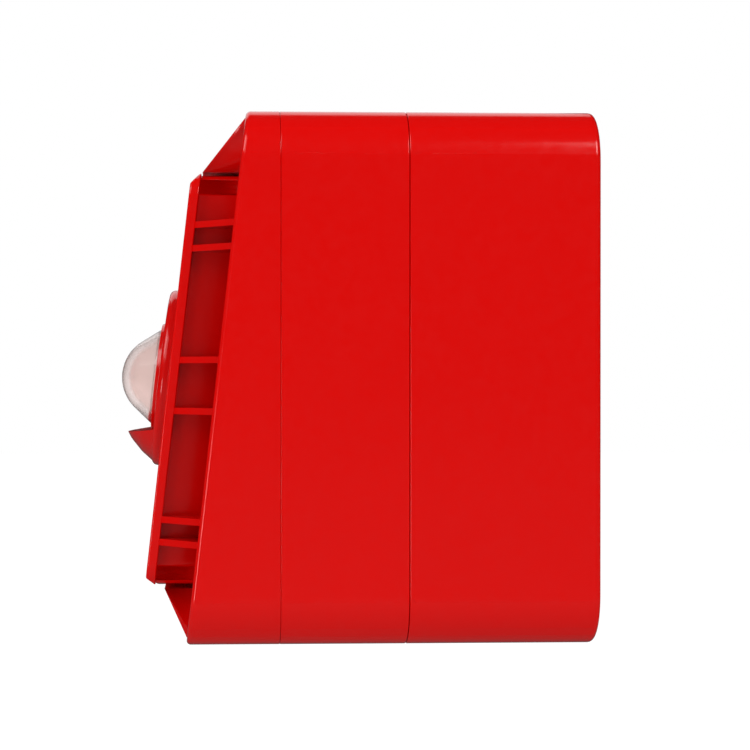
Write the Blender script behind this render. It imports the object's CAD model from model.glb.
"""Horn strobe: the looks of the part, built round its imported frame.

Sizes in the classes are millimetres in a wall frame: x to the right, y up and z out of the wall,
with the origin at the middle of the wall face. A finished piece is written in the row's frame,
in metres, by WALL_TO_ROW.
"""

import logging
import math
from collections.abc import Callable, Iterator, Sequence
from contextlib import contextmanager
from dataclasses import dataclass, field
from enum import Enum

import bmesh
import bpy
from mathutils import Matrix, Vector


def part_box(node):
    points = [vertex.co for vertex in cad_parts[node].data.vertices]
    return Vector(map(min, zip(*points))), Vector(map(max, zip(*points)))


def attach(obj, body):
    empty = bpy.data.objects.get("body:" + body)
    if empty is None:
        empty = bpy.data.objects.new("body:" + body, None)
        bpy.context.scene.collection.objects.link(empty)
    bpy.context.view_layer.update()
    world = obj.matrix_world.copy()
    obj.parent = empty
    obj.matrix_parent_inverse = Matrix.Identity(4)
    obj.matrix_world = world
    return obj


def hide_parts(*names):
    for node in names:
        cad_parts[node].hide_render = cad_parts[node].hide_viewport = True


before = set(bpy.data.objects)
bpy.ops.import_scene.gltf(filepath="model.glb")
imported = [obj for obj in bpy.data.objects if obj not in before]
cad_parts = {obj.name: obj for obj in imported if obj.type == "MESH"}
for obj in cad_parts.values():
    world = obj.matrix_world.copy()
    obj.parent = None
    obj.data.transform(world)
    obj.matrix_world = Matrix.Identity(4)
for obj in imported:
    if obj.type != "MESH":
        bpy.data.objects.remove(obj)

log = logging.getLogger("horn_strobe")

Profile = list[tuple[float, float]]
Ring = list[Vector]

MM = 0.001
WALL_TO_ROW = Matrix.Scale(MM, 4) @ Matrix(((1, 0, 0, 0), (0, 0, -1, 0), (0, 1, 0, 0), (0, 0, 0, 1)))
ROW_TO_WALL = WALL_TO_ROW.inverted()
SLOPE = 0.1125  # the front leans back by this much for each millimetre of height
LEAN = math.atan(SLOPE)
ON_AXIS = 1e-9  # a radius below this lies on the axis
SAME_POINT = 1e-5  # a new solid's corners nearer than this are merged
SAME_CORNER = 1e-4  # a frame node's corners nearer than this are merged
FLAT_WITHIN = math.radians(0.6)
NOISE_RANGE = (0.3, 0.7)  # where most of a noise pattern's values lie


class Operation(Enum):
    """How two solids are combined."""

    JOIN = "UNION"
    CUT = "DIFFERENCE"
    KEEP = "INTERSECT"


def linear(hex_colour: str) -> tuple[float, float, float, float]:
    """Turns an sRGB hex colour to linear light.

    Args:
        hex_colour: Six hex digits.

    Returns:
        Red, green, blue and an alpha of one.
    """
    channels = [int(hex_colour[i:i + 2], 16) / 255 for i in (0, 2, 4)]
    red, green, blue = (
        c / 12.92 if c <= 0.04045 else ((c + 0.055) / 1.055) ** 2.4 for c in channels
    )
    return red, green, blue, 1.0


def add_node(
    tree: bpy.types.NodeTree,
    kind: str,
    inputs: dict[str | int, object] | None = None,
    **settings: object,
) -> bpy.types.Node:
    """Adds a node, sets it up and links it.

    Args:
        tree: The tree that gets the node.
        kind: The node's type name.
        inputs: Input name or index to a value, to the output socket that feeds it, or to the
            node whose first output does.
        settings: The node's own properties.

    Returns:
        The new node.
    """
    node = tree.nodes.new(kind)
    for name, value in settings.items():
        setattr(node, name, value)
    for name, value in (inputs or {}).items():
        if isinstance(value, bpy.types.Node):
            value = value.outputs[0]
        if isinstance(value, bpy.types.NodeSocket):
            tree.links.new(value, node.inputs[name])
        else:
            node.inputs[name].default_value = value
    return node


def linked(name: str, data: bpy.types.ID) -> bpy.types.Object:
    """Makes an object and puts it in the scene.

    Args:
        name: Its name.
        data: Its mesh, light or camera.

    Returns:
        The object.
    """
    made = bpy.data.objects.new(name, data)
    bpy.context.scene.collection.objects.link(made)
    return made


def evaluated(holder: bpy.types.Object) -> bpy.types.Mesh:
    """Returns the mesh that an object's modifiers make."""
    graph = bpy.context.evaluated_depsgraph_get()
    return bpy.data.meshes.new_from_object(holder.evaluated_get(graph))


@contextmanager
def edited(mesh: bpy.types.Mesh) -> Iterator[bmesh.types.BMesh]:
    """Opens a mesh for editing and writes it back.

    Args:
        mesh: The mesh.

    Yields:
        Its editable shape.
    """
    shape = bmesh.new()
    shape.from_mesh(mesh)
    yield shape
    shape.to_mesh(mesh)
    shape.free()


# Outlines and solids -------------------------------------------------------------------------


def rounded_path(corners: Sequence[tuple[float, float, float]], steps: int = 5) -> Profile:
    """Rounds the corners of an open outline.

    Args:
        corners: Each corner's two coordinates and its radius, which is 0 for a sharp one.
        steps: How many chords each round corner gets.

    Returns:
        The outline's points, with an arc at each round corner.
    """
    path: Profile = []
    for i, (x, y, radius) in enumerate(corners):
        here = Vector((x, y))
        if radius <= 0 or i in (0, len(corners) - 1):
            path.append((x, y))
            continue
        back = (Vector(corners[i - 1][:2]) - here).normalized()
        onward = (Vector(corners[i + 1][:2]) - here).normalized()
        half = back.angle(onward) / 2
        centre = here + (back + onward).normalized() * (radius / math.sin(half))
        first = here + back * (radius / math.tan(half)) - centre
        last = here + onward * (radius / math.tan(half)) - centre
        sweep = first.angle_signed(last)
        for k in range(steps + 1):
            turn = Matrix.Rotation(-sweep * k / steps, 2)
            point = centre + turn @ first
            path.append((point.x, point.y))
    return path


def rounded_ring(
    width: float,
    height: float,
    radius: float,
    depth: Callable[[float], float],
    middle: float = 0.0,
    steps: int = 14,
) -> Ring:
    """A rectangle with round corners, laid in wall coordinates.

    Args:
        width: Size along x.
        height: Size along y.
        radius: Corner radius.
        depth: The distance from the wall at a height y.
        middle: The height of the rectangle's middle.
        steps: Chords in each corner.

    Returns:
        The ring's points, anticlockwise as seen from the front.
    """
    ring: Ring = []
    for quadrant in range(4):
        side_x = 1 if quadrant in (0, 3) else -1
        side_y = 1 if quadrant in (0, 1) else -1
        for k in range(steps + 1):
            angle = (quadrant + k / steps) * math.pi / 2
            x = side_x * (width / 2 - radius) + radius * math.cos(angle)
            y = middle + side_y * (height / 2 - radius) + radius * math.sin(angle)
            ring.append(Vector((x, y, depth(y))))
    return ring


class Solid:
    """A closed mesh in wall-frame millimetres, to be joined, cut and made a piece."""

    def __init__(self, mesh: bpy.types.Mesh) -> None:
        """Holds the mesh."""
        self.mesh = mesh

    @classmethod
    def from_faces(cls, points: Sequence[Vector], faces: Sequence[Sequence[int]]) -> "Solid":
        """Makes a solid of points and faces, with its faces turned outwards.

        Args:
            points: The corners.
            faces: Indices of each face's corners.

        Returns:
            The solid.
        """
        mesh = bpy.data.meshes.new("solid")
        mesh.from_pydata([tuple(p) for p in points], [], [list(f) for f in faces])
        with edited(mesh) as shape:
            bmesh.ops.remove_doubles(shape, verts=shape.verts[:], dist=SAME_POINT)
            bmesh.ops.recalc_face_normals(shape, faces=shape.faces[:])
        return cls(mesh)

    @classmethod
    def lofted(cls, rings: Sequence[Ring], hoop: bool = False) -> "Solid":
        """Skins a row of rings with the same number of points.

        Args:
            rings: The rings in order.
            hoop: Whether the last ring runs back to the first. Otherwise both ends are closed.

        Returns:
            The solid.
        """
        count = len(rings[0])
        points = [point for ring in rings for point in ring]
        faces: list[list[int]] = []
        for r in range(len(rings) if hoop else len(rings) - 1):
            low, high = r * count, (r + 1) % len(rings) * count
            for k in range(count):
                after = (k + 1) % count
                faces.append([low + k, low + after, high + after, high + k])
        if not hoop:
            faces.append(list(range(count)))
            faces.append(list(range((len(rings) - 1) * count, len(rings) * count)))
        return cls.from_faces(points, faces)

    @classmethod
    def revolved(cls, profile: Profile, sides: int = 96) -> "Solid":
        """Turns a profile about z.

        Args:
            profile: Radius and z, from the axis to the axis or closing on itself.
            sides: How many steps the turn has.

        Returns:
            The solid.
        """
        points: list[Vector] = []
        faces: list[list[int]] = []
        count = len(profile)
        for s in range(sides):
            angle = 2 * math.pi * s / sides
            points += [Vector((r * math.cos(angle), r * math.sin(angle), z)) for r, z in profile]
        for s in range(sides):
            here, after = s * count, ((s + 1) % sides) * count
            for k in range(count - 1):
                corners = [here + k, after + k, after + k + 1, here + k + 1]
                if profile[k][0] <= ON_AXIS:
                    corners.pop(1)
                elif profile[k + 1][0] <= ON_AXIS:
                    corners.pop(2)
                faces.append(corners)
        return cls.from_faces(points, faces)

    @classmethod
    def across(cls, outline: Profile, x_low: float, x_high: float) -> "Solid":
        """Carries a side outline along x.

        Args:
            outline: The outline's y and z.
            x_low: Where it starts.
            x_high: Where it ends.

        Returns:
            The solid.
        """
        return cls.lofted([[Vector((x, y, z)) for y, z in outline] for x in (x_low, x_high)])

    @classmethod
    def box(cls, low: Sequence[float], high: Sequence[float]) -> "Solid":
        """Makes a box between two corners."""
        side = [(low[1], low[2]), (high[1], low[2]), (high[1], high[2]), (low[1], high[2])]
        return cls.across(side, low[0], high[0])

    @classmethod
    def of_node(cls, node: str) -> "Solid":
        """Copies a frame node's shape, its doubled corners merged.

        Args:
            node: The node's name.

        Returns:
            The solid.
        """
        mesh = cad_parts[node].data.copy()
        mesh.transform(ROW_TO_WALL)
        mesh.materials.clear()
        with edited(mesh) as shape:
            bmesh.ops.remove_doubles(shape, verts=shape.verts[:], dist=SAME_CORNER)
        return cls(mesh)

    def moved(self, matrix: Matrix) -> "Solid":
        """Moves the solid by a matrix and returns it."""
        self.mesh.transform(matrix)
        return self

    def flattened(self) -> "Solid":
        """Joins the triangles of each flat face, so that edges can be bevelled.

        Returns:
            This solid.
        """
        with edited(self.mesh) as shape:
            bmesh.ops.dissolve_limit(
                shape, angle_limit=FLAT_WITHIN, verts=shape.verts[:], edges=shape.edges[:]
            )
        return self

    def _combined(self, other: "Solid", operation: Operation) -> "Solid":
        """Combines this solid with another one.

        Args:
            other: The other solid.
            operation: How they are combined.

        Returns:
            The new solid.
        """
        holders = [linked("holder", solid.mesh) for solid in (self, other)]
        modifier = holders[0].modifiers.new("combine", "BOOLEAN")
        modifier.object = holders[1]
        modifier.operation = operation.value
        modifier.solver = "EXACT"
        mesh = evaluated(holders[0])
        for holder in holders:
            bpy.data.objects.remove(holder)
        return Solid(mesh)

    def __add__(self, other: "Solid") -> "Solid":
        """Joins another solid."""
        return self._combined(other, Operation.JOIN)

    def __sub__(self, other: "Solid") -> "Solid":
        """Cuts another solid away."""
        return self._combined(other, Operation.CUT)

    def __and__(self, other: "Solid") -> "Solid":
        """Keeps what lies in both solids."""
        return self._combined(other, Operation.KEEP)

    def beside(self, other: "Solid") -> "Solid":
        """Puts another solid in the same mesh, without joining their walls.

        Args:
            other: The other solid.

        Returns:
            This solid.
        """
        with edited(self.mesh) as shape:
            shape.from_mesh(other.mesh)
        return self

    def piece(
        self,
        name: str,
        finish: "Finish",
        body: str,
        replaces: Sequence[str] = (),
        bevel: float = 0.0,
        sharp: float = 32.0,
    ) -> bpy.types.Object:
        """Makes the solid a finished piece of the object.

        Args:
            name: The piece's name.
            finish: Its finish.
            body: The frame body that it rides on.
            replaces: The frame nodes that it stands for.
            bevel: The width of its edge bevels in millimetres, or 0 for none.
            sharp: Edges that turn by more than this many degrees shade as sharp.

        Returns:
            The piece.
        """
        self.mesh.transform(WALL_TO_ROW)
        self.mesh.name = name
        self.mesh.materials.clear()
        self.mesh.materials.append(finish.material())
        self.mesh.polygons.foreach_set("material_index", [0] * len(self.mesh.polygons))
        self.mesh.shade_smooth()
        self.mesh.set_sharp_from_angle(angle=math.radians(sharp))
        piece = linked(name, self.mesh)
        if bevel > 0:
            edge = piece.modifiers.new("edge", "BEVEL")
            edge.width = bevel * MM
            edge.segments = 2
            edge.limit_method = "ANGLE"
            edge.angle_limit = math.radians(sharp + 4)
            edge.use_clamp_overlap = True
        shading = piece.modifiers.new("shading", "WEIGHTED_NORMAL")
        shading.keep_sharp = True
        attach(piece, body)
        if replaces:
            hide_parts(*replaces)
        log.info("%s: %d faces on %s", name, len(self.mesh.polygons), body)
        return piece


# Finishes ------------------------------------------------------------------------------------


@dataclass(frozen=True)
class Finish:
    """One material: what it is made of, how its surface was made and how that looks."""

    name: str
    slot: str
    colour: str
    roughness: float
    metallic: float = 0.0
    ior: float = 1.5
    grain_mm: float = 1.0
    grain_depth_mm: float = 0.0
    roughness_spread: float = 0.04
    colour_spread: float = 0.04
    blotch_mm: float = 30.0

    def material(self) -> bpy.types.Material:
        """Returns the material, made the first time it is asked for.

        Returns:
            The material.
        """
        found = bpy.data.materials.get(self.name)
        if found:
            return found
        made = bpy.data.materials.new(self.name)
        made.use_nodes = True
        tree = made.node_tree
        tree.nodes.clear()
        shader = add_node(tree, "ShaderNodeBsdfPrincipled", {"Metallic": self.metallic})
        if self.metallic == 0:
            shader.inputs["IOR"].default_value = self.ior
        add_node(tree, "ShaderNodeOutputMaterial", {"Surface": shader.outputs["BSDF"]})
        self.dress(tree, shader)
        return made

    def pattern(self, tree: bpy.types.NodeTree, size_mm: float) -> bpy.types.NodeSocket:
        """Adds a cloudy pattern of a real size.

        Args:
            tree: The material's tree.
            size_mm: The size of its features.

        Returns:
            The pattern's value, from 0 to 1.
        """
        place = add_node(tree, "ShaderNodeTexCoord")
        noise = add_node(tree, "ShaderNodeTexNoise", {
            "Vector": place.outputs["Object"], "Scale": 1 / (size_mm * MM), "Detail": 2.0,
        })
        return noise.outputs["Fac"]

    def roughen(self, tree: bpy.types.NodeTree, shader: bpy.types.Node, low: float) -> bpy.types.NodeSocket:
        """Varies the roughness by a fine pattern.

        Args:
            tree: The material's tree.
            shader: Its shader node.
            low: The lowest roughness.

        Returns:
            The pattern's value, from 0 to 1.
        """
        fine = self.pattern(tree, self.grain_mm)
        ranged = add_node(tree, "ShaderNodeMapRange", {
            "Value": fine, "From Min": NOISE_RANGE[0], "From Max": NOISE_RANGE[1],
            "To Min": low, "To Max": self.roughness + self.roughness_spread,
        })
        tree.links.new(ranged.outputs["Result"], shader.inputs["Roughness"])
        return fine

    def tinted(self, tree: bpy.types.NodeTree, source: bpy.types.NodeSocket) -> bpy.types.NodeSocket:
        """Varies the colour a little.

        Args:
            tree: The material's tree.
            source: A value from 0 to 1: darkest to plain.

        Returns:
            The colour.
        """
        base = linear(self.colour)
        darker = (*(c * (1 - self.colour_spread) for c in base[:3]), 1.0)
        mix = add_node(tree, "ShaderNodeMix", {"Factor": source, "A": darker, "B": base}, data_type="RGBA")
        return mix.outputs[2]

    def dress(self, tree: bpy.types.NodeTree, shader: bpy.types.Node) -> None:
        """Links the colour, roughness and grain to the shader.

        Args:
            tree: The material's tree.
            shader: Its shader node.
        """
        blotches = self.pattern(tree, self.blotch_mm)
        tree.links.new(self.tinted(tree, blotches), shader.inputs["Base Color"])
        fine = self.roughen(tree, shader, self.roughness - self.roughness_spread)
        if self.grain_depth_mm > 0:
            bump = add_node(tree, "ShaderNodeBump", {
                "Height": fine, "Strength": 1.0, "Distance": self.grain_depth_mm * MM,
            })
            tree.links.new(bump.outputs["Normal"], shader.inputs["Normal"])


@dataclass(frozen=True)
class ClearFinish(Finish):
    """A clear moulded plastic, seen through."""

    def dress(self, tree: bpy.types.NodeTree, shader: bpy.types.Node) -> None:
        """Sets the clear plastic's transmission.

        Args:
            tree: The material's tree.
            shader: Its shader node.
        """
        shader.inputs["Base Color"].default_value = linear(self.colour)
        shader.inputs["Transmission Weight"].default_value = 1.0
        self.roughen(tree, shader, self.roughness)


@dataclass(frozen=True)
class BoardFinish(Finish):
    """Solder mask over copper: the tracks show as paler lines."""

    track: str = "2f7a44"
    track_pitch_mm: float = 2.54

    def dress(self, tree: bpy.types.NodeTree, shader: bpy.types.Node) -> None:
        """Draws the tracks under the mask.

        Args:
            tree: The material's tree.
            shader: Its shader node.
        """
        place = add_node(tree, "ShaderNodeTexCoord")
        flat = add_node(tree, "ShaderNodeMapping", {
            "Vector": place.outputs["Object"], "Rotation": (math.pi / 2, 0, 0),
        })
        tracks = add_node(tree, "ShaderNodeTexBrick", {
            "Vector": flat.outputs["Vector"], "Scale": 1 / (self.track_pitch_mm * MM),
            "Color1": linear(self.colour), "Color2": linear(self.colour),
            "Mortar": linear(self.track), "Mortar Size": 0.08, "Brick Width": 2.6, "Row Height": 0.5,
        })
        tree.links.new(tracks.outputs["Color"], shader.inputs["Base Color"])
        self.roughen(tree, shader, self.roughness - self.roughness_spread)
        bump = add_node(tree, "ShaderNodeBump", {
            "Height": tracks.outputs["Fac"], "Strength": 0.5, "Distance": 0.035 * MM,
        })
        tree.links.new(bump.outputs["Normal"], shader.inputs["Normal"])


# Acrylonitrile butadiene styrene, injection moulded in a polished tool: an even, deep red with
# sharp reflections and the faintest orange peel.
RED_ABS = Finish("red_abs_gloss_moulded", "red_abs", "d30200", 0.15, ior=1.5, grain_mm=1.6,
                 grain_depth_mm=0.0012, roughness_spread=0.02, colour_spread=0.03)
# Clear polycarbonate, moulded: water clear, with a very slight haze from the moulding.
CLEAR_PC = ClearFinish("clear_polycarbonate_moulded", "clear_pc", "f8e6e2", 0.12, ior=1.585,
                       roughness_spread=0.03)
# Ethylene propylene rubber, moulded: dull black with a fine skin.
EPDM = Finish("epdm_rubber_moulded", "epdm", "1d1d1f", 0.8, grain_mm=0.5, grain_depth_mm=0.01)
# Glass epoxy board under green solder mask: a soft gloss over paler tracks.
FR4 = BoardFinish("fr4_green_solder_mask", "fr4", "14532a", 0.35, ior=1.55, grain_mm=0.8)
# Glass epoxy board under white solder mask, which throws the flash forward.
WHITE_FR4 = BoardFinish("fr4_white_solder_mask", "fr4", "e6e6e0", 0.4, ior=1.55, grain_mm=0.8,
                        track="d2d2ca")
# Nylon, moulded with a finely eroded tool: an even satin in each colour.
GREEN_NYLON = Finish("green_nylon_moulded", "green_nylon", "2c8a45", 0.42, ior=1.53, grain_mm=0.25,
                     grain_depth_mm=0.004)
WHITE_NYLON = Finish("white_nylon_moulded", "white_nylon", "e9e6dc", 0.42, ior=1.53, grain_mm=0.25,
                     grain_depth_mm=0.004)
BLUE_NYLON = Finish("blue_nylon_moulded", "blue_nylon", "1d55a5", 0.4, ior=1.53, grain_mm=0.25,
                    grain_depth_mm=0.003)
DARK_NYLON = Finish("black_nylon_moulded", "dark_nylon", "232427", 0.48, ior=1.53, grain_mm=0.25,
                    grain_depth_mm=0.005)
# Epoxy moulding compound round the chip: dark and matt, with a fine grit.
CHIP_EPOXY = Finish("epoxy_compound_moulded", "dark_nylon", "1b1b1c", 0.6, ior=1.55, grain_mm=0.12,
                    grain_depth_mm=0.006)
# Polyester sleeve shrunk on an aluminium can: glossy and nearly black.
CAN_SLEEVE = Finish("polyester_sleeve_shrunk", "can_sleeve", "15171f", 0.28, ior=1.57, grain_mm=1.0,
                    grain_depth_mm=0.004)
# Aluminium can end, drawn and plain.
CAN_END = Finish("aluminium_can_drawn", "zinc_steel", "c9cbcd", 0.34, metallic=1.0, grain_mm=0.3,
                 grain_depth_mm=0.003, roughness_spread=0.08)
# Vinyl lead insulation, extruded: smooth and slightly waxy.
LEAD_SLEEVE = Finish("pvc_insulation_extruded", "lead_sleeve", "1a1a1b", 0.4, ior=1.53, grain_mm=0.7,
                     grain_depth_mm=0.003)
# Aluminium flashed on a moulded bowl in vacuum: a bright mirror.
ALUMINISED = Finish("aluminised_moulding", "reflector_metal", "e8e9ea", 0.09, metallic=1.0,
                    roughness_spread=0.03, colour_spread=0.02)
# Rolled brass sheet with a light lacquer.
BRASS = Finish("rolled_brass_sheet", "brass", "c9a24c", 0.28, metallic=1.0, grain_mm=0.3,
               grain_depth_mm=0.002, roughness_spread=0.07)
# Silvered lead zirconate ceramic: pale, matt metal.
CERAMIC = Finish("silvered_piezo_ceramic", "brass", "d9d8d2", 0.5, metallic=0.7, grain_mm=0.2,
                 grain_depth_mm=0.004)
# Enamelled copper wire: warm, glossy turns.
COPPER = Finish("enamelled_copper_wire", "brass", "b5622b", 0.25, metallic=1.0, grain_mm=0.4,
                grain_depth_mm=0.002)
# Steel with bright zinc plate: a cool grey metal with a slight bloom.
ZINC_STEEL = Finish("zinc_plated_steel", "zinc_steel", "b9bec4", 0.3, metallic=1.0, grain_mm=0.35,
                    grain_depth_mm=0.004, roughness_spread=0.08)
# Tin plated contact, bright and slightly warm.
TIN_PLATE = Finish("tin_plated_contact", "zinc_steel", "d0d1cf", 0.25, metallic=1.0, grain_mm=0.3,
                   grain_depth_mm=0.002, roughness_spread=0.06)
# Silicone filled with phosphor over the flash chip: a soft, waxy yellow.
PHOSPHOR = Finish("phosphor_silicone_cast", "white_nylon", "e8c92e", 0.35, ior=1.41, grain_mm=0.2,
                  grain_depth_mm=0.002)


# Sub-assemblies ------------------------------------------------------------------------------


# The beacon leans with the plate, and its own z = 0 lies on the plate's front.
BEACON_HEIGHT = -0.4
PLATE_FRONT = 95.8
BEACON_TO_WALL = (
    Matrix.Translation((0, BEACON_HEIGHT, PLATE_FRONT - SLOPE * BEACON_HEIGHT))
    @ Matrix.Rotation(-LEAN, 4, "X")
)
HEAD_OUT = (0.0, math.pi, 0.0)  # turns a screw so that its head faces out of the wall
PLUG_PINS = 4
PLUG_PITCH = 3.96


def grown(seed: Solid, tree: bpy.types.NodeTree, values: dict[str, object]) -> Solid:
    """Runs a geometry node tree on a solid.

    Args:
        seed: The mesh that the tree starts from.
        tree: The tree.
        values: The value of each named input.

    Returns:
        The result as a plain mesh.
    """
    holder = linked("holder", seed.mesh)
    modifier = holder.modifiers.new("grown", "NODES")
    modifier.node_group = tree
    for socket in tree.interface.items_tree:
        if socket.in_out == "INPUT" and socket.name in values:
            modifier[socket.identifier] = values[socket.name]
    mesh = evaluated(holder)
    holder.modifiers.remove(modifier)
    bpy.data.objects.remove(holder)
    return Solid(mesh)


def new_tree(name: str, sockets: dict[str, str]) -> tuple[bpy.types.NodeTree, bpy.types.NodeOutputs]:
    """Starts a geometry node tree.

    Args:
        name: The tree's name.
        sockets: Each input's name and its kind, such as Float.

    Returns:
        The tree and its input sockets.
    """
    tree = bpy.data.node_groups.new(name, "GeometryNodeTree")
    tree.interface.new_socket("Geometry", in_out="OUTPUT", socket_type="NodeSocketGeometry")
    tree.interface.new_socket("Points", in_out="INPUT", socket_type="NodeSocketGeometry")
    for socket, kind in sockets.items():
        tree.interface.new_socket(socket, in_out="INPUT", socket_type=f"NodeSocket{kind}")
    return tree, add_node(tree, "NodeGroupInput").outputs


def copied(
    tree: bpy.types.NodeTree,
    given: bpy.types.NodeOutputs,
    part: bpy.types.Node | bpy.types.NodeSocket,
) -> bpy.types.Node:
    """Adds the nodes that copy a part to every point of a geometry node tree.

    Args:
        tree: The tree.
        given: Its input sockets, with the turn of each copy where it has one.
        part: What gives the part.

    Returns:
        The node that gives the copies.
    """
    turned = {"Rotation": given["Turn"]} if "Turn" in given else {}
    placed = add_node(tree, "GeometryNodeInstanceOnPoints", {
        "Points": given["Points"], "Instance": part, **turned,
    })
    return add_node(tree, "GeometryNodeRealizeInstances", {0: placed})


def dressed(
    tree: bpy.types.NodeTree, given: bpy.types.NodeOutputs, shape: bpy.types.Node
) -> bpy.types.NodeTree:
    """Gives a shape its finish and makes it what a geometry node tree returns.

    Args:
        tree: The tree.
        given: Its input sockets.
        shape: The node that gives the shape.

    Returns:
        The tree.
    """
    coated = add_node(tree, "GeometryNodeSetMaterial", {"Geometry": shape, "Material": given["Finish"]})
    add_node(tree, "NodeGroupOutput", {0: coated})
    return tree


def plain(node: str, ending: str, finish: Finish, body: str, bevel: float) -> None:
    """Makes a piece straight from a frame node, its edges bevelled.

    Args:
        node: The node's name.
        ending: What is added to it for the piece's name.
        finish: The piece's finish.
        body: The frame body that it rides on.
        bevel: The width of its edge bevels.
    """
    Solid.of_node(node).flattened().piece(f"{node}_{ending}", finish, body, [node], bevel=bevel)


def on_beacon(
    solid: Solid, name: str, finish: Finish, replaces: Sequence[str] = (), **edges: float
) -> None:
    """Makes a piece of the head from a solid that is laid out in the beacon's own axes.

    Args:
        solid: The solid.
        name: The piece's name.
        finish: Its finish.
        replaces: The frame nodes that it stands for.
        edges: How its edges are bevelled and shaded.
    """
    solid.moved(BEACON_TO_WALL).piece(name, finish, "head", replaces, **edges)


def row_of(count: int, pitch: float, middle: float = 0.0) -> list[float]:
    """Spaces places evenly along a line, about its middle."""
    return [middle + (i - (count - 1) / 2) * pitch for i in range(count)]


def points(places: Sequence[Sequence[float]]) -> Solid:
    """Makes loose points for a node tree to build on."""
    return Solid.from_faces([Vector(place) for place in places], [])


def four_places(x: float, y: float) -> list[tuple[float, float]]:
    """Mirrors a place about x = 0 and y = 0."""
    return [(x, y), (-x, y), (-x, -y), (x, -y)]


@dataclass
class Screws:
    """Equal slotted screws of one body, cut and threaded by a node tree."""

    name: str
    body: str
    nodes: Sequence[str]
    places: Sequence[Sequence[float]]
    head_radius: float
    head_height: float
    shank_radius: float
    length: float
    turn: tuple[float, float, float] = (0.0, 0.0, 0.0)
    in_beacon: bool = False
    pitch: float = 1.1
    thread_depth: float = 0.24
    slot_width: float = 0.8

    @staticmethod
    def tree() -> bpy.types.NodeTree:
        """Returns the tree of one screw, copied to every point.

        Returns:
            The tree, made the first time it is asked for.
        """
        found = bpy.data.node_groups.get("slotted_screw")
        if found:
            return found
        tree, given = new_tree("slotted_screw", {
            "Head Radius": "Float", "Head Height": "Float", "Shank Radius": "Float",
            "Shank Length": "Float", "Shank Middle": "Float", "Rows": "Int", "Pitch": "Float",
            "Thread Depth": "Float", "Slot Size": "Vector", "Turn": "Rotation", "Finish": "Material",
        })
        rod = add_node(tree, "GeometryNodeMeshCylinder", {
            "Vertices": 20, "Side Segments": given["Rows"], "Radius": given["Shank Radius"],
            "Depth": given["Shank Length"],
        })
        axes = add_node(tree, "ShaderNodeSeparateXYZ", {
            0: add_node(tree, "GeometryNodeInputPosition"),
        }).outputs
        angle = add_node(tree, "ShaderNodeMath", {0: axes["Y"], 1: axes["X"]}, operation="ARCTAN2")
        turns = add_node(tree, "ShaderNodeMath", {
            0: angle, 1: 2 * math.pi,
        }, operation="DIVIDE")
        climb = add_node(tree, "ShaderNodeMath", {0: axes["Z"], 1: given["Pitch"]}, operation="DIVIDE")
        phase = add_node(tree, "ShaderNodeMath", {0: climb, 1: turns},
                         operation="SUBTRACT")
        flank = add_node(tree, "ShaderNodeMath", {0: phase, 1: 0.5}, operation="PINGPONG")
        cut = add_node(tree, "ShaderNodeMath", {
            0: flank, 1: given["Thread Depth"],
        }, operation="MULTIPLY")
        share = add_node(tree, "ShaderNodeMath", {0: cut, 1: given["Shank Radius"]},
                         operation="DIVIDE")
        shrink = add_node(tree, "ShaderNodeMapRange", {
            "Value": share, "To Min": 1.0, "To Max": -1.0,
        })
        scale = add_node(tree, "ShaderNodeCombineXYZ", {
            "X": shrink, "Y": shrink, "Z": 1.0,
        })
        place = add_node(tree, "ShaderNodeVectorMath", {
            0: add_node(tree, "GeometryNodeInputPosition"), 1: scale,
        }, operation="MULTIPLY")
        threaded = add_node(tree, "GeometryNodeSetPosition", {
            "Geometry": rod, "Position": place,
        })
        raised = add_node(tree, "ShaderNodeCombineXYZ", {"Z": given["Shank Middle"]})
        shank = add_node(tree, "GeometryNodeTransform", {
            "Geometry": threaded, "Translation": raised,
        })
        blank = add_node(tree, "GeometryNodeMeshCylinder", {
            "Vertices": 32, "Radius": given["Head Radius"], "Depth": given["Head Height"],
        })
        half = add_node(tree, "ShaderNodeMath", {0: given["Head Height"], 1: 2}, operation="DIVIDE")
        lift = add_node(tree, "ShaderNodeCombineXYZ", {"Z": half})
        lifted = add_node(tree, "GeometryNodeTransform", {
            "Geometry": blank, "Translation": lift,
        })
        slot = add_node(tree, "GeometryNodeMeshCube", {"Size": given["Slot Size"]})
        head = add_node(tree, "GeometryNodeMeshBoolean", {
            "Mesh 1": lifted, "Mesh 2": slot,
        }, operation="DIFFERENCE")
        screw = add_node(tree, "GeometryNodeJoinGeometry", {0: shank})
        tree.links.new(head.outputs[0], screw.inputs[0])
        return dressed(tree, given, copied(tree, given, screw))

    def build(self) -> None:
        """Builds the screws as one piece of their body."""
        shank = self.length - self.head_height
        screws = grown(points(self.places), self.tree(), {
            "Head Radius": self.head_radius - 0.02, "Head Height": self.head_height,
            "Shank Radius": self.shank_radius, "Shank Length": shank + 0.2,
            "Shank Middle": self.head_height + shank / 2 - 0.1,
            "Rows": round(shank / self.pitch * 8), "Pitch": self.pitch,
            "Thread Depth": self.thread_depth * 2,
            "Slot Size": (3 * self.head_radius, self.slot_width, 0.9 * self.head_height),
            "Turn": self.turn, "Finish": ZINC_STEEL.material(),
        })
        if self.in_beacon:
            screws = screws.moved(BEACON_TO_WALL)
        screws.piece(self.name, ZINC_STEEL, self.body, self.nodes, bevel=0.12, sharp=50)


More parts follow.
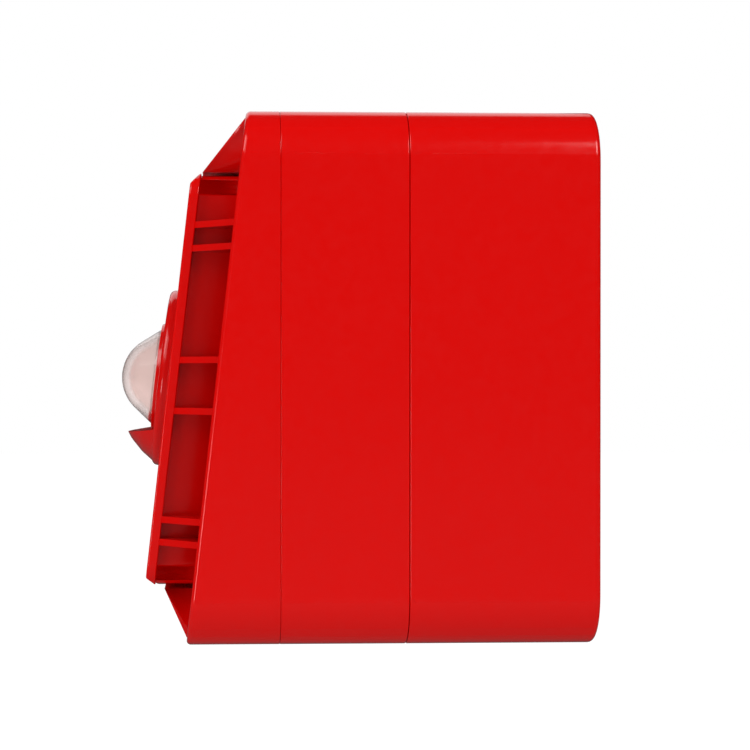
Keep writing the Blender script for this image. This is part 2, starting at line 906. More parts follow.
@dataclass
class Copies:
    """One small part copied to many places by a node tree."""

    places: Sequence[Sequence[float]]
    turn: tuple[float, float, float] = (0.0, 0.0, 0.0)

    @staticmethod
    def tree() -> bpy.types.NodeTree:
        """Returns the tree that copies a part, made the first time it is asked for.

        Returns:
            The tree.
        """
        found = bpy.data.node_groups.get("copied_part")
        if found:
            return found
        tree, given = new_tree("copied_part", {"Part": "Object", "Turn": "Rotation", "Finish": "Material"})
        part = add_node(tree, "GeometryNodeObjectInfo", {"Object": given["Part"]})
        return dressed(tree, given, copied(tree, given, part.outputs["Geometry"]))

    def of(self, part: Solid, finish: Finish) -> Solid:
        """Copies a part.

        Args:
            part: The part, at the origin.
            finish: Its finish.

        Returns:
            All the copies in one solid.
        """
        holder = linked("part", part.mesh)
        made = grown(points(self.places), self.tree(), {
            "Part": holder, "Turn": self.turn, "Finish": finish.material(),
        })
        bpy.data.objects.remove(holder)
        return made


@dataclass
class Casing:
    """The outer outline that the back box, the middle shell and the cover share."""

    corner: float = 12.0
    skin: float = 0.1
    seal_outer: float = 1.5
    seal_inner: float = 2.6
    seal_round: float = 0.4
    size: float = field(init=False)

    def __post_init__(self) -> None:
        """Reads the casing's size from the frame."""
        low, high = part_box("back_box")
        self.size = (high.x - low.x) / MM

    def ring(self, inset: float, depth: float, leaning: bool = False) -> Ring:
        """The casing's outline, drawn in.

        Args:
            inset: How far it is drawn in.
            depth: Its distance from the wall, at mid height where it leans.
            leaning: Whether it leans with the front.

        Returns:
            The ring.
        """
        side = self.size - 2 * inset
        slope = SLOPE if leaning else 0.0
        return rounded_ring(side, side, self.corner - inset, lambda y: depth - slope * y)

    def envelope(
        self, corners: Sequence[tuple[float, float, float]], leaning_from: float = math.inf
    ) -> Solid:
        """A solid whose outside follows the casing.

        Args:
            corners: Inset, distance from the wall and radius of each corner of its side outline.
            leaning_from: The distance past which the outline leans with the front.

        Returns:
            The envelope.
        """
        path = rounded_path(corners)
        return Solid.lofted([self.ring(inset, z, z > leaning_from) for inset, z in path])

    def lip(self, low: float, high: float, width: float = 1.1) -> Solid:
        """A thin hoop that brings a moulding's outer wall nearer to its neighbour."""
        section = [(0, low), (0, high), (width, high), (width, low)]
        return Solid.lofted([self.ring(inset, z) for inset, z in section], hoop=True)

    def gasket(self, low: float, high: float) -> Solid:
        """A hoop of rubber with round edges.

        Args:
            low: Its back.
            high: Its front.

        Returns:
            The gasket.
        """
        outer, inner, edge = self.seal_outer, self.seal_inner, self.seal_round
        middle = (low + high) / 2
        section = rounded_path([
            (outer, middle, 0), (outer, high, edge), (inner, high, edge), (inner, low, edge),
            (outer, low, edge), (outer, middle, 0),
        ], 4)[:-1]
        return Solid.lofted([self.ring(inset, z) for inset, z in section], hoop=True)


@dataclass
class BackBox:
    """The deep box on the wall, with its gasket and the grommet for the cable."""

    casing: Casing
    front: float = 42.36
    wall_round: float = 1.2
    seam_round: float = 0.28
    grommet_height: float = -30.0

    def build(self) -> None:
        """Builds the box, the gasket and the grommet."""
        skin = self.casing.skin
        outside = self.casing.envelope([
            (6, 0.02, 0), (skin, 0.02, self.wall_round), (skin, self.front, self.seam_round),
            (3, self.front, 0), (3, 60, 0),
        ])
        box = (Solid.of_node("back_box") + self.casing.lip(41, self.front + 0.2)) & outside
        box.piece("back_box_moulding", RED_ABS, "base", ["back_box"])
        seal = self.casing.gasket(40.7, 42.4)
        seal.piece("base_gasket", EPDM, "base", ["base_seal"], sharp=60)
        profile = rounded_path([
            (4, 3, 0), (4, 0.3, 0.3), (7.7, 0.3, 0.3), (7.7, 3.3, 0.2), (10.2, 3.3, 0.3), (10.2, 4.5, 0.4),
            (6, 7, 0.6), (4, 7, 0.4), (4, 3, 0),
        ])
        grommet = Solid.revolved(profile, 64).moved(Matrix.Translation((0, self.grommet_height, 0)))
        grommet.piece("rear_cable_grommet_moulding", EPDM, "base", ["rear_cable_grommet"], sharp=60)


@dataclass
class TerminalCarrier:
    """The board in the back box with the terminals and the socket for the head."""

    ways: int = 6
    pitch: float = 6.5
    row_height: float = 16.0
    post: tuple[float, float] = (29.0, 4.0)
    plug_height: float = -14.0

    def ways_x(self) -> list[float]:
        """Where the ways stand along x."""
        return row_of(self.ways, self.pitch)

    def pins_x(self) -> list[float]:
        """Where the plug's pins stand along x."""
        return row_of(PLUG_PINS, PLUG_PITCH)

    def build(self) -> None:
        """Builds the board, block, screws, clamps and socket."""
        plain("terminal_board", "plate", FR4, "base", 0.12)
        plain("terminal_block", "moulding", GREEN_NYLON, "base", 0.25)
        clamp = Solid.box((-1.9, -3, 0), (1.9, 3, 0.7))
        clamps = Copies([(x, 14, 23.95) for x in self.ways_x()]).of(clamp, TIN_PLATE)
        clamps.piece("terminal_clamps", TIN_PLATE, "base", bevel=0.1)
        joint = Solid.revolved([(0, 0), (1.3, 0), (0.9, 0.5), (0.4, 1.1), (0, 1.2)], 12)
        joint.moved(Matrix.Rotation(math.pi, 4, "X"))
        places = [(x, y, 20.3) for x in self.ways_x() for y in (13.5, 18.5)]
        places += [(x, self.plug_height, 20.3) for x in self.pins_x()]
        Copies(places).of(joint, TIN_PLATE).piece("terminal_solder_joints", TIN_PLATE, "base")
        plain("plug_socket", "moulding", WHITE_NYLON, "base", 0.3)
        leaf = Solid.across([(-3.4, 0.1), (-3.1, 0.1), (-2.9, 4.5), (-3.4, 4.5)], -0.7, 0.7)
        leaves = Copies([(x, self.plug_height - 0.4, 28) for x in self.pins_x()]).of(leaf, TIN_PLATE)
        leaves.piece("socket_contacts", TIN_PLATE, "base")
        Screws("terminal_screws", "base", [f"terminal_screw_{i + 1}" for i in range(self.ways)],
               [(x, self.row_height, 32.2) for x in self.ways_x()], 2.1, 1.7, 1.1, 5.7, HEAD_OUT,
               pitch=0.7, thread_depth=0.15).build()
        Screws("board_screws", "base", ["board_screw_1", "board_screw_2"],
               [(side * self.post[0], self.post[1], 24) for side in (1, -1)], 3, 1.8, 1.05, 10.5,
               HEAD_OUT, thread_depth=0.2).build()


@dataclass
class RearShell:
    """The middle shell, its gasket, the screws through it and the locking screw."""

    casing: Casing
    back: float = 42.46
    front: float = 70.72
    back_round: float = 0.28
    front_round: float = 0.14
    corner_screw: float = 51.0
    lock_height: float = 49.0

    def build(self) -> None:
        """Builds the shell and what belongs to it."""
        skin = self.casing.skin
        outside = self.casing.envelope([
            (2.9, 38, 0), (2.9, self.back, 0), (skin, self.back, self.back_round),
            (skin, self.front, self.front_round), (1.05, self.front, 0), (1.05, 70.62, 0), (3, 70.62, 0),
        ])
        shell = Solid.of_node("rear_shell") + self.casing.lip(self.back - 0.2, 43.1)
        shell = shell + self.casing.lip(70.3, self.front + 0.2)
        (shell & outside).piece("rear_shell_moulding", RED_ABS, "head", ["rear_shell"])
        seal = self.casing.gasket(69, 70.6)
        seal.piece("shell_gasket", EPDM, "head", ["shell_seal"], sharp=60)
        Screws("shell_screws", "head", [f"shell_screw_{i + 1}" for i in range(4)],
               [(x, y, 49.5) for x, y in four_places(self.corner_screw, self.corner_screw)],
               3, 2.2, 1.4, 20, pitch=1.35).build()
        Screws("locking_screw_fitted", "locking_screw", ["locking_screw"],
               [(0, -59.8, self.lock_height)], 2.8, 1.1, 1.4, 11.6, (-math.pi / 2, 0, 0)).build()


@dataclass
class FrontCover:
    """The front cover: a leaning rim round the dish, with a shoulder above and below the horn."""

    casing: Casing
    back: float = 70.78
    rim: float = 84.98
    back_round: float = 0.14
    rim_round: float = 1.0
    shoulder_half: float = 43.0
    shoulder_foot: float = 43.0
    shoulder_reach: float = 59.3
    shoulder_back: float = 72.0
    shoulder_front: float = 110.0

    def build(self) -> None:
        """Builds the cover from the frame's shape, its outer edges rounded."""
        skin = self.casing.skin
        outside = self.casing.envelope([
            (2.6, 59, 0), (2.6, 70.88, 0), (1.0, 70.88, 0), (1.0, self.back, 0),
            (skin, self.back, self.back_round), (skin, self.rim, self.rim_round), (5, self.rim, 0),
        ], leaning_from=self.back + 5)
        half, foot, reach = self.shoulder_half, self.shoulder_foot, self.shoulder_reach
        back, front = self.shoulder_back, self.shoulder_front
        shoulders = Solid.box((-half, foot, back), (half, reach, front))
        shoulders = shoulders.beside(Solid.box((-half, -reach, back), (half, -foot, front)))
        cover = Solid.of_node("front_cover") + self.casing.lip(self.back - 0.2, 71.3, 1.0)
        (cover & (outside + shoulders)).piece("front_cover_moulding", RED_ABS, "head", ["front_cover"])


@dataclass
class Ribs:
    """The ribs between the block and the rim, laid out by one node tree."""

    heights: tuple[float, ...] = (34.45, 29.15, 4.05, -7.4, -31.85, -36.9)
    root: float = 44.5
    foot: float = 56.95
    tip: float = 47.65
    floor: float = 80.52
    rim: float = 84.68
    plate: float = 93.9
    thickness: float = 1.46

    @staticmethod
    def tree() -> bpy.types.NodeTree:
        """Returns the tree: one rib, turned for the other side, put at each height and leaned.

        Returns:
            The tree.
        """
        tree, given = new_tree("horn_ribs", {
            "Root": "Float", "Foot": "Float", "Tip": "Float", "Floor": "Float", "Rim": "Float",
            "Plate Share": "Float", "Thickness": "Float", "Fall": "Float", "Finish": "Material",
        })
        cube = add_node(tree, "GeometryNodeMeshCube", {"Size": (1, 1, 1), "Vertices Z": 3})
        axes = add_node(tree, "ShaderNodeSeparateXYZ", {
            0: add_node(tree, "GeometryNodeInputPosition"),
        }).outputs
        edge = add_node(tree, "ShaderNodeMapRange", {
            "Value": axes["Z"], "From Min": 0.0, "From Max": 0.5,
            "To Min": given["Foot"], "To Max": given["Tip"],
        })
        x = add_node(tree, "ShaderNodeMapRange", {
            "Value": axes["X"], "From Min": -0.5, "From Max": 0.5,
            "To Min": given["Root"], "To Max": edge,
        })
        y = add_node(tree, "ShaderNodeMath", {0: axes["Y"], 1: given["Thickness"]}, operation="MULTIPLY")
        below = add_node(tree, "ShaderNodeMapRange", {
            "Value": axes["Z"], "From Min": -0.5, "From Max": 0.0,
            "To Min": given["Floor"], "To Max": given["Rim"],
        })
        above = add_node(tree, "ShaderNodeMapRange", {
            "Value": axes["Z"], "From Min": 0.0, "From Max": 0.5, "To Max": given["Plate Share"],
        })
        z = add_node(tree, "ShaderNodeMath", {0: below, 1: above})
        shaped = add_node(tree, "GeometryNodeSetPosition", {
            "Geometry": cube,
            "Position": add_node(tree, "ShaderNodeCombineXYZ", {
                "X": x, "Y": y, "Z": z,
            }),
        })
        other = add_node(tree, "GeometryNodeTransform", {
            "Geometry": shaped, "Rotation": (0, 0, math.pi),
        })
        pair = add_node(tree, "GeometryNodeJoinGeometry", {0: shaped})
        tree.links.new(other.outputs[0], pair.inputs[0])
        real = copied(tree, given, pair)
        here = add_node(tree, "ShaderNodeSeparateXYZ", {
            0: add_node(tree, "GeometryNodeInputPosition"),
        })
        drop = add_node(tree, "ShaderNodeMath", {0: here.outputs["Y"], 1: given["Fall"]},
                        operation="MULTIPLY")
        leaned = add_node(tree, "GeometryNodeSetPosition", {
            "Geometry": real,
            "Offset": add_node(tree, "ShaderNodeCombineXYZ", {"Z": drop}),
        })
        return dressed(tree, given, leaned)

    def build(self) -> Solid:
        """Returns the ribs as one solid."""
        return grown(points([(0, y, 0) for y in self.heights]), self.tree(), {
            "Root": self.root, "Foot": self.foot, "Tip": self.tip, "Floor": self.floor,
            "Rim": self.rim, "Plate Share": self.plate - self.rim, "Thickness": self.thickness,
            "Fall": -SLOPE, "Finish": RED_ABS.material(),
        })


@dataclass
class HornGrille:
    """The raised horn plate on its hollow block, with ribs down both sides."""

    width: float = 96.0
    top: float = 46.6
    bottom: float = -47.6
    corner: float = 6.0
    thickness: float = 2.25
    edge_round: float = 0.45
    beacon_hole: float = 16.0
    block_width: float = 89.9
    screw: float = 38.0

    def face(self, offset: float, y: float) -> float:
        """The distance from the wall of a plane parallel to the plate's front."""
        return PLATE_FRONT + offset - SLOPE * y

    def plate(self) -> Solid:
        """Returns the plate: its side outline carried across, its corners rounded.

        Returns:
            The plate, with the hole for the beacon.
        """
        back, face = -self.thickness, self.face
        low_edge, high_edge = self.bottom + 2.5, self.top - 2.7
        outline = rounded_path([
            (0, face(back, 0), 0), (self.top, face(back, self.top) - 0.1, 0.2),
            (self.top, face(back, self.top) + 0.1, 0.2), (high_edge, face(0, high_edge), 0.7),
            (low_edge, face(0, low_edge), 0.7), (self.bottom, face(0, self.bottom) - 3.2, 0.4),
            (self.bottom, face(back, self.bottom) - 0.8, 0.2),
            (self.bottom + 1.2, face(back, self.bottom + 1.2), 0), (0, face(back, 0), 0),
        ])[:-1]
        slab = Solid.across(outline, -self.width / 2 - 1, self.width / 2 + 1)
        height, middle = self.top - self.bottom, (self.top + self.bottom) / 2
        side = rounded_path([
            (8, back - 2.5, 0), (1.4, back - 2.5, 0), (1.4, back, 0), (0, back, 0.3),
            (0, 0, self.edge_round), (8, 0, 0),
        ])
        rings = [
            rounded_ring(self.width - 2 * inset, height - 2 * inset, max(self.corner - inset, 0.4),
                         lambda y, z=z: face(z, y), middle)
            for inset, z in side
        ]
        hole = Solid.revolved([(0, -8), (self.beacon_hole, -8), (self.beacon_hole, 8), (0, 8)], 96)
        return (slab & Solid.lofted(rings)) - hole.moved(BEACON_TO_WALL)

    def block(self) -> Solid:
        """Returns the hollow block behind the plate, from the frame's shape.

        Returns:
            The block.
        """
        height, middle = self.top - self.bottom - 0.7, (self.top + self.bottom) / 2
        rings = [
            rounded_ring(self.block_width, height, 5, lambda y: 60.0, middle),
            rounded_ring(self.block_width, height, 5, lambda y: self.face(-0.6, y), middle),
        ]
        return Solid.of_node("horn_grille") & Solid.lofted(rings)

    def build(self) -> None:
        """Builds the grille with its ribs, and the screws that hold it from behind."""
        grille = self.block() + self.plate()
        grille = grille.beside(Ribs().build())
        grille.piece("horn_grille_moulding", RED_ABS, "head", ["horn_grille"])
        Screws("horn_screws", "head", [f"horn_screw_{i + 1}" for i in range(4)],
               [(x, y, self.face(-20.7, y)) for x, y in four_places(self.screw, self.screw)],
               3, 2, 1.35, 12, pitch=1.3).build()


@dataclass
class Beacon:
    """The flash: a bezel with a chin, the clear dome, its bowl, emitter, seal and board."""

    disc: float = 22.0
    disc_front: float = 3.1
    chin_height: float = -12.5
    chin_fall: float = 0.238
    lens: float = 12.0
    flange: float = 14.3
    tip: float = 12.88
    ball: float = 10.5
    flank: float = 8.3
    wall: float = 1.8
    seal: tuple[float, float, float] = (13.2, -1.7, 0.75)  # radius, depth and half thickness
    board_screw: float = 18.5

    def chin(self) -> Solid:
        """Returns the chin: the lower part of a shallow cone, cut off by a plane under the lens.

        Returns:
            The chin.
        """
        outline = rounded_path([
            (0, 0.5, 0), (22.15, 0.5, 0), (22.15, 1.3, 0.3), (19, 5.7, 8), (16, 8.7, 8), (12.8, 10.8, 0),
            (0, 10.8, 0),
        ], 8)
        top, far = self.chin_height, 14
        low = top - self.chin_fall * (far - 2)
        keep = Solid.across([(-30, 2.02), (top, 2.02), (low, far), (-30, far)], -30, 30)
        hollow = Solid.revolved([(0, -1), (13, -1), (13, 20), (0, 20)], 96)
        return (Solid.revolved(outline, 128) & keep) - hollow

    def bezel(self) -> Solid:
        """Returns the disc, the collar round the lens and the chin.

        Returns:
            The bezel.
        """
        disc, front = self.disc - 0.03, self.disc_front
        profile = rounded_path([
            (14.6, 0, 0), (14.6, -2, 0.1), (15.6, -2, 0.1), (15.6, 0.32, 0), (disc, 0.32, 0.1),
            (disc, front, 1.5), (13.6, front, 0.25), (13.1, 4.2, 0.3), (12.3, 4.2, 0.15),
            (12.3, 1.6, 0), (14.6, 1.6, 0), (14.6, 0, 0),
        ], 6)
        return Solid.revolved(profile, 128) + self.chin()

    def dome(self) -> Solid:
        """Returns the clear lens, open at the back.

        Returns:
            The lens, with its flange.
        """
        start, steps = math.acos(self.flank / self.ball), 20
        centre = self.tip - self.ball
        outside = []
        for k in range(steps + 1):
            angle = start + k / steps * (math.pi / 2 - start)
            radius = 0.0 if k == steps else self.ball * math.cos(angle)
            outside.append((radius, centre + self.ball * math.sin(angle)))
        hollow = self.ball - self.wall
        inside = [(hollow * math.sin(a), centre + hollow * math.cos(a))
                  for a in [k / 12 * (math.pi / 2 - start) for k in range(13)]]
        inside += rounded_path([
            inside[-1] + (0,), (10.1, 3.9, 2), (10.2, -0.6, 0.2), (self.flange, -0.6, 0.2),
            (self.flange, 1.3, 0.2), (self.lens, 1.3, 0.15), (self.lens, 4.05, 2.2),
            (self.flank, centre + self.ball * math.sin(start), 0),
        ], 8)[1:]
        return Solid.revolved(inside[:-1] + outside, 128)

    def bowl(self) -> Solid:
        """Returns the bright bowl round the emitter."""
        return Solid.revolved(rounded_path([
            (2.6, -4, 0), (2.6, -4.4, 0), (4.6, -4.4, 0), (4.6, -3.6, 0.2), (14.2, -3.6, 0.2),
            (14.2, -2.8, 0.2), (6.6, -2.8, 0.4), (8.8, 0.4, 3), (9.7, 3.4, 0.1), (9.2, 3.4, 0.1),
            (8.2, 0.6, 3), (6, -2.2, 2), (2.6, -3.6, 0.1), (2.6, -4, 0),
        ], 6), 96)

    def build(self) -> None:
        """Builds every piece of the beacon."""
        on_beacon(self.bezel(), "lens_bezel_moulding", RED_ABS, ["lens_bezel"])
        on_beacon(self.dome(), "strobe_lens_moulding", CLEAR_PC, ["strobe_lens"])
        radius, depth, half = self.seal
        section = [(radius + half * math.cos(a), depth + half * math.sin(a))
                   for a in [2 * math.pi * k / 16 for k in range(17)]]
        on_beacon(Solid.revolved(section, 96), "lens_gasket", EPDM, ["lens_seal"], sharp=60)
        on_beacon(self.bowl(), "strobe_bowl", ALUMINISED, ["strobe_reflector"])
        foot = rounded_path([
            (0, -4.5, 0), (2.2, -4.5, 0.1), (2.2, -3.7, 0.15), (1.6, -3.6, 0), (0, -3.6, 0),
        ])
        on_beacon(Solid.revolved(foot, 48), "strobe_emitter_foot", WHITE_NYLON, ["strobe_emitter"])
        drop = rounded_path([
            (0, -3.58, 0), (1.62, -3.58, 0.05), (1.5, -2.8, 0.5), (0.9, -2.2, 0.6), (0, -2.02, 0),
        ])
        on_beacon(Solid.revolved(drop, 48), "strobe_emitter_phosphor", PHOSPHOR)
        plain("strobe_board", "plate", WHITE_FR4, "head", 0.12)
        Screws("strobe_board_screws", "head", ["strobe_board_screw_1", "strobe_board_screw_2"],
               [(side * self.board_screw, 0, -8.2) for side in (1, -1)], 2.4, 1.4, 1, 7,
               in_beacon=True, thread_depth=0.18).build()


@dataclass
class Sounder:
    """The sounder behind the horn: its cup, the brass disc and the ring that clamps it."""

    screw: float = 36.0

    def cup(self) -> Solid:
        """Returns the cup with its throat and two arms.

        Returns:
            The cup.
        """
        body = Solid.revolved(rounded_path([
            (7, -13, 0), (7, -14.2, 0.3), (21.5, -16.5, 1), (21.5, -29, 0.2), (25.2, -29, 0.2),
            (25.2, -34, 0.3), (27, -34, 0.4), (27, -14, 1), (25, -12, 1), (7, -12, 0.5), (7, -13, 0),
        ]), 96)
        arm = Solid.box((26, -5, -20.6), (41, 5, -18.4))
        hole = Solid.revolved([(0, -22), (1.5, -22), (1.5, -17), (0, -17)], 32)
        arm = arm - hole.moved(Matrix.Translation((self.screw, 0, 0)))
        other = Solid(arm.mesh.copy()).moved(Matrix.Rotation(math.pi, 4, "Z"))
        return (body + arm) + other

    def build(self) -> None:
        """Builds the sounder's pieces."""
        on_beacon(self.cup(), "sounder_cup_moulding", DARK_NYLON, ["sounder_cup"], bevel=0.2)
        brass = Solid.revolved([(0, -29.9), (24.8, -29.9), (24.8, -29.3), (0, -29.3)], 96)
        on_beacon(brass, "piezo_brass_disc", BRASS, ["piezo_disc"])
        ceramic = Solid.revolved([(0, -30.28), (18, -30.28), (18, -29.93), (0, -29.93)], 96)
        on_beacon(ceramic, "piezo_ceramic", CERAMIC)
        ring = rounded_path([(21, -32, 0), (21, -33.6, 0.3), (24.9, -33.6, 0.3), (24.9, -30.6, 0.3),
                             (21, -30.6, 0.3), (21, -32, 0)])
        on_beacon(Solid.revolved(ring, 96), "piezo_ring", DARK_NYLON, ["piezo_clamp_ring"], sharp=60)
        Screws("sounder_screws", "head", ["sounder_screw_1", "sounder_screw_2"],
               [(side * self.screw, 0, -22.4) for side in (1, -1)], 2.6, 1.5, 1, 9,
               in_beacon=True, thread_depth=0.18).build()


@dataclass
class MainBoard:
    """The main board and what is soldered to it."""

    front: float = 56.6
    gap: float = 0.3
    screw: float = 36.0
    chip: tuple[float, float] = (-4.0, 30.0)
    chip_half: float = 6.0
    chip_legs: int = 8
    chip_pitch: float = 1.27
    coil: tuple[float, float] = (34.0, -24.0)
    capacitors: tuple[tuple[float, float], ...] = ((-36.0, -22.0), (-36.0, -9.0))
    plug: tuple[float, float] = (0.0, -14.0)
    switch: tuple[float, float] = (-18.0, 18.0)
    switches: int = 6
    switch_pitch: float = 2.54
    switch_pin: float = 3.81
    volume: tuple[float, float] = (16.0, 18.0)

    @staticmethod
    def winding_tree() -> bpy.types.NodeTree:
        """Returns the tree that winds wire on the coil's bobbin.

        Returns:
            The tree.
        """
        tree, given = new_tree("coil_winding", {
            "Radius": "Float", "Height": "Float", "Turns": "Float", "Wire": "Float",
            "Finish": "Material",
        })
        path = add_node(tree, "GeometryNodeCurveSpiral", {
            "Resolution": 24, "Rotations": given["Turns"], "Start Radius": given["Radius"],
            "End Radius": given["Radius"], "Height": given["Height"],
        })
        section = add_node(tree, "GeometryNodeCurvePrimitiveCircle", {
            "Resolution": 8, "Radius": given["Wire"],
        })
        wire = add_node(tree, "GeometryNodeCurveToMesh", {
            "Curve": path, "Profile Curve": section, "Fill Caps": True,
        })
        return dressed(tree, given, copied(tree, given, wire))

    def coil_pieces(self) -> None:
        """Builds the coil's bobbin and its winding."""
        foot = self.front + self.gap
        x, y = self.coil
        bobbin = Solid.revolved(rounded_path([
            (0, foot, 0), (6, foot, 0.2), (6, foot + 1.2, 0.2), (4.5, foot + 1.2, 0),
            (4.5, foot + 5.8, 0), (6, foot + 5.8, 0.2), (6, foot + 7, 0.3), (0, foot + 7, 0),
        ]), 48)
        bobbin.moved(Matrix.Translation((x, y, 0)))
        bobbin.piece("coil_bobbin", DARK_NYLON, "head", ["boost_coil"])
        winding = grown(points([(x, y, foot + 1.45)]), self.winding_tree(), {
            "Radius": 4.75, "Height": 4.1, "Turns": 10.0, "Wire": 0.22, "Finish": COPPER.material(),
        })
        winding.piece("coil_winding", COPPER, "head", sharp=80)

    def capacitor_pieces(self) -> None:
        """Builds the reservoir capacitors: sleeved cans with a scored end."""
        foot = self.front + self.gap
        sleeve = Solid.revolved(rounded_path([
            (0, foot, 0), (5, foot, 0.3), (5, foot + 1.4, 0.2), (4.7, foot + 1.8, 0.2),
            (5, foot + 2.2, 0.2), (5, foot + 13.35, 0.35), (4.0, foot + 13.35, 0),
            (4.0, foot + 13.1, 0), (0, foot + 13.1, 0),
        ]), 64)
        low, high = foot + 13.12, foot + 13.3
        end = Solid.revolved([(0, low), (3.95, low), (3.95, high), (0, high)], 48)
        for turn in (0, math.pi / 2):
            score = Solid.box((-2.6, -0.15, foot + 13.22), (2.6, 0.15, foot + 14))
            end = end - score.moved(Matrix.Rotation(turn, 4, "Z"))
        for i, (x, y) in enumerate(self.capacitors):
            shift = Matrix.Translation((x, y, 0))
            name = f"reservoir_capacitor_{i + 1}"
            Solid(sleeve.mesh.copy()).moved(shift).piece(name + "_sleeve", CAN_SLEEVE, "head", [name])
            Solid(end.mesh.copy()).moved(shift).piece(name + "_end", CAN_END, "head")

    def chip_pieces(self) -> None:
        """Builds the controller and its bent legs."""
        foot = self.front + self.gap
        x, y = self.chip
        plain("controller_chip", "body", CHIP_EPOXY, "head", 0.25)
        leg = Solid.across([
            (-0.1, 0.75), (0.75, 0.75), (0.95, 0.2), (1.6, 0.2), (1.6, 0.0), (0.8, 0.0), (0.6, 0.55),
            (-0.1, 0.55),
        ], -0.2, 0.2)
        legs: Solid | None = None
        for side in range(4):
            turn = side * math.pi / 2
            step = Matrix.Rotation(turn, 4, "Z")
            places = [
                Vector((x, y, foot - 0.28)) + step @ Vector((along, self.chip_half, 0))
                for along in row_of(self.chip_legs, self.chip_pitch)
            ]
            row = Copies(places, (0.0, 0.0, turn)).of(leg, TIN_PLATE)
            legs = legs.beside(row) if legs else row
        legs.piece("controller_chip_legs", TIN_PLATE, "head")

    def plug_pieces(self) -> None:
        """Builds the plug that drops into the socket, with its blades."""
        plain("plug_header", "moulding", WHITE_NYLON, "head", 0.3)
        x, y = self.plug
        blade = Solid.box((-0.7, -0.4, 0), (0.7, 0.4, 1.3))
        places = [(pin, y, 29.75) for pin in row_of(PLUG_PINS, PLUG_PITCH, x)]
        blades = Copies(places).of(blade, TIN_PLATE)
        blades.piece("plug_blades", TIN_PLATE, "head", bevel=0.12)

    def controls(self) -> None:
        """Builds the option switches and the volume control."""
        plain("switch_body", "moulding", BLUE_NYLON, "head", 0.2)
        for i in range(self.switches):
            slider = f"switch_slider_{i + 1}"
            plain(slider, "moulding", WHITE_NYLON, slider, 0.15)
        plain("volume_body", "moulding", BLUE_NYLON, "head", 0.25)
        plain("volume_rotor", "moulding", WHITE_NYLON, "volume_rotor", 0.12)

    def build(self) -> None:
        """Builds the board and all that stands on it."""
        plain("main_board", "plate", FR4, "head", 0.12)
        self.coil_pieces()
        self.capacitor_pieces()
        self.chip_pieces()
        self.plug_pieces()
        self.controls()
        joint = Solid.revolved([(0, 0), (1.1, 0), (0.7, 0.4), (0.35, 0.9), (0, 1)], 12)
        x, y = self.plug
        level = self.front + 0.01
        places = [(pin, y, level) for pin in row_of(PLUG_PINS, PLUG_PITCH, x)]
        x, y = self.switch
        places += [(pin, y + side * self.switch_pin, level)
                   for pin in row_of(self.switches, self.switch_pitch, x) for side in (1, -1)]
        x, y = self.volume
        places += [(x + dx, y + dy, level) for dx, dy in ((-2.54, -2.54), (2.54, -2.54), (0, 2.54))]
        Copies(places).of(joint, TIN_PLATE).piece("main_solder_joints", TIN_PLATE, "head")
        Screws("main_board_screws", "head", ["main_board_screw_1", "main_board_screw_2"],
               [(side * self.screw, side * self.screw, self.front + self.gap + 1.5) for side in (1, -1)],
               2.6, 1.5, 1, 7.8, HEAD_OUT, thread_depth=0.18).build()
        for name in ("strobe_lead", "sounder_lead"):
            Solid.of_node(name).piece(name + "_insulation", LEAD_SLEEVE, "head", [name], sharp=60)


class Role(Enum):
    """What a studio light is for, with its place in metres, size and power."""

    KEY = ((0.9, -0.75, 0.95), 0.8, 3.2)
    SIDE = ((1.1, 0.65, 0.85), 0.6, 8.5)
    FRONT = ((0.45, -1.2, 0.95), 0.7, 5.5)
    LOW = ((1.0, -0.9, -0.12), 0.3, 1.6)
    BACK = ((-1.2, -0.2, 0.8), 1.0, 3.0)


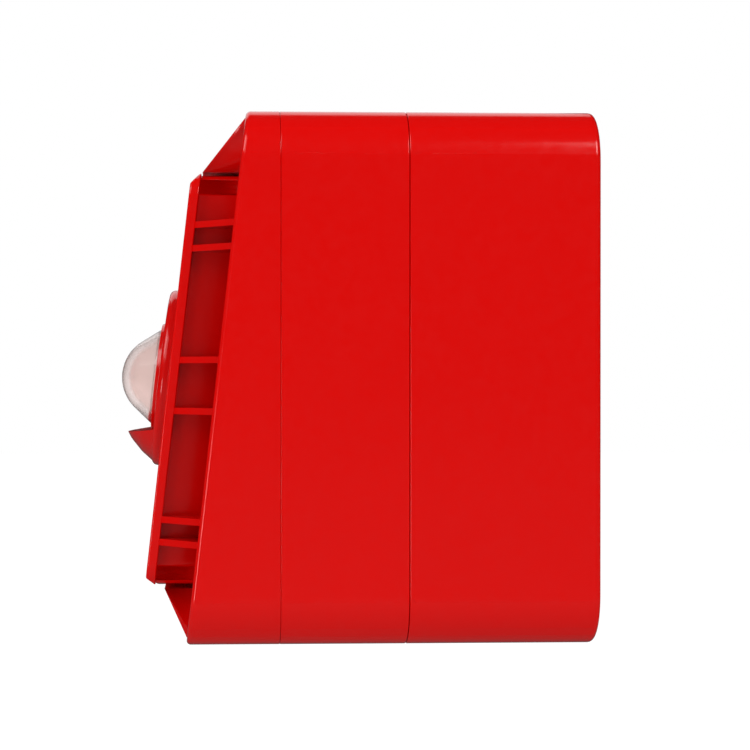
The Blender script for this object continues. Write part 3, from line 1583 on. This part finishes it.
@dataclass
class Studio:
    """The pale floor, the soft lights and the camera."""

    ambient: float = 0.58
    mirrored: float = 0.02
    bounce: float = 0.9
    bounce_mirrored: float = 0.04
    seen_through: float = 0.9
    floor_height: float = -0.3
    floor_reach: float = 6.0
    floor_colour: str = "4a4a49"
    floor_roughness: float = 0.9
    aim: tuple[float, float, float] = (0.0, -0.05, 0.0)
    lens: float = 88.6
    sensor: float = 36.0
    shift: float = 0.1
    camera_place: tuple[float, float, float] = (0.46382, -0.08333, 0.00227)
    yaw: float = 2.372
    pitch: float = -0.222

    def camera(self) -> None:
        """Puts the camera beside the object, a little in front of its side face."""
        data = bpy.data.cameras.new("camera")
        data.lens = self.lens
        data.sensor_width = self.sensor
        data.shift_x = self.shift
        data.clip_start, data.clip_end = 0.01, 20
        camera = linked("camera", data)
        camera.location = self.camera_place
        yaw, pitch = math.radians(self.yaw), math.radians(self.pitch)
        aim = Vector((-math.cos(yaw) * math.cos(pitch), math.sin(yaw) * math.cos(pitch), math.sin(pitch)))
        camera.rotation_mode = "QUATERNION"
        camera.rotation_quaternion = aim.to_track_quat("-Z", "Y")
        bpy.context.scene.camera = camera

    def light(self, role: Role) -> None:
        """Adds one soft light aimed at the object.

        Args:
            role: What the light is for.
        """
        place, size, power = role.value
        data = bpy.data.lights.new(role.name.lower(), "AREA")
        data.shape, data.size, data.energy = "SQUARE", size, power
        light = linked(role.name.lower(), data)
        light.location = place
        light.rotation_mode = "QUATERNION"
        light.rotation_quaternion = (Vector(self.aim) - Vector(place)).to_track_quat("-Z", "Y")
        light.visible_camera = False
        light.visible_transmission = False

    def glow(self, tree: bpy.types.NodeTree, lit: float, mirrored: float) -> bpy.types.NodeSocket:
        """Adds the brightness of something that is white to look at and softer to be lit by.

        Args:
            tree: The material or world tree that gets it.
            lit: The brightness that falls on dull surfaces.
            mirrored: The brightness that shiny surfaces show.

        Returns:
            The brightness.
        """
        path = add_node(tree, "ShaderNodeLightPath").outputs
        thrown = add_node(tree, "ShaderNodeMapRange", {
            "Value": path["Is Diffuse Ray"], "To Min": mirrored, "To Max": lit,
        })
        through = add_node(tree, "ShaderNodeMath", {
            0: path["Transmission Depth"], 1: self.seen_through,
        }, operation="MINIMUM")
        seen = add_node(tree, "ShaderNodeMath", {
            0: path["Is Camera Ray"], 1: through,
        }, operation="MAXIMUM")
        strength = add_node(tree, "ShaderNodeMath", {
            0: thrown, 1: seen,
        }, operation="MAXIMUM")
        return strength.outputs[0]

    def world(self) -> None:
        """Sets up the surroundings and the plain colour rendering."""
        world = bpy.data.worlds.new("studio")
        world.use_nodes = True
        tree = world.node_tree
        tree.nodes.clear()
        back = add_node(tree, "ShaderNodeBackground", {
            "Color": (1, 1, 1, 1), "Strength": self.glow(tree, self.ambient, self.mirrored),
        })
        add_node(tree, "ShaderNodeOutputWorld", {"Surface": back})
        bpy.context.scene.world = world
        bpy.context.scene.view_settings.view_transform = "Standard"

    def floor(self) -> None:
        """Lays the plain pale floor."""
        mesh = bpy.data.meshes.new("floor")
        reach, z = self.floor_reach, self.floor_height
        corners = [(-reach, -reach, z), (reach, -reach, z), (reach, reach, z), (-reach, reach, z)]
        mesh.from_pydata(corners, [], [(0, 1, 2, 3)])
        pale = bpy.data.materials.new("pale_floor")
        pale.use_nodes = True
        tree = pale.node_tree
        shader = tree.nodes["Principled BSDF"]
        shader.inputs["Base Color"].default_value = linear(self.floor_colour)
        shader.inputs["Roughness"].default_value = self.floor_roughness
        shader.inputs["Emission Color"].default_value = (1, 1, 1, 1)
        glow = self.glow(tree, self.bounce, self.bounce_mirrored)
        tree.links.new(glow, shader.inputs["Emission Strength"])
        mesh.materials.append(pale)
        linked("floor", mesh)

    def build(self) -> None:
        """Sets the whole studio up."""
        self.camera()
        self.world()
        self.floor()
        for role in Role:
            self.light(role)


def main() -> None:
    """Builds the studio and each sub-assembly."""
    logging.basicConfig(level=logging.INFO, format="%(message)s")
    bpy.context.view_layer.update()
    Studio().build()
    casing = Casing()
    for assembly in (BackBox(casing), TerminalCarrier(), RearShell(casing), FrontCover(casing),
                     HornGrille(), Beacon(), Sounder(), MainBoard()):
        assembly.build()


if __name__ == "__main__":
    main()
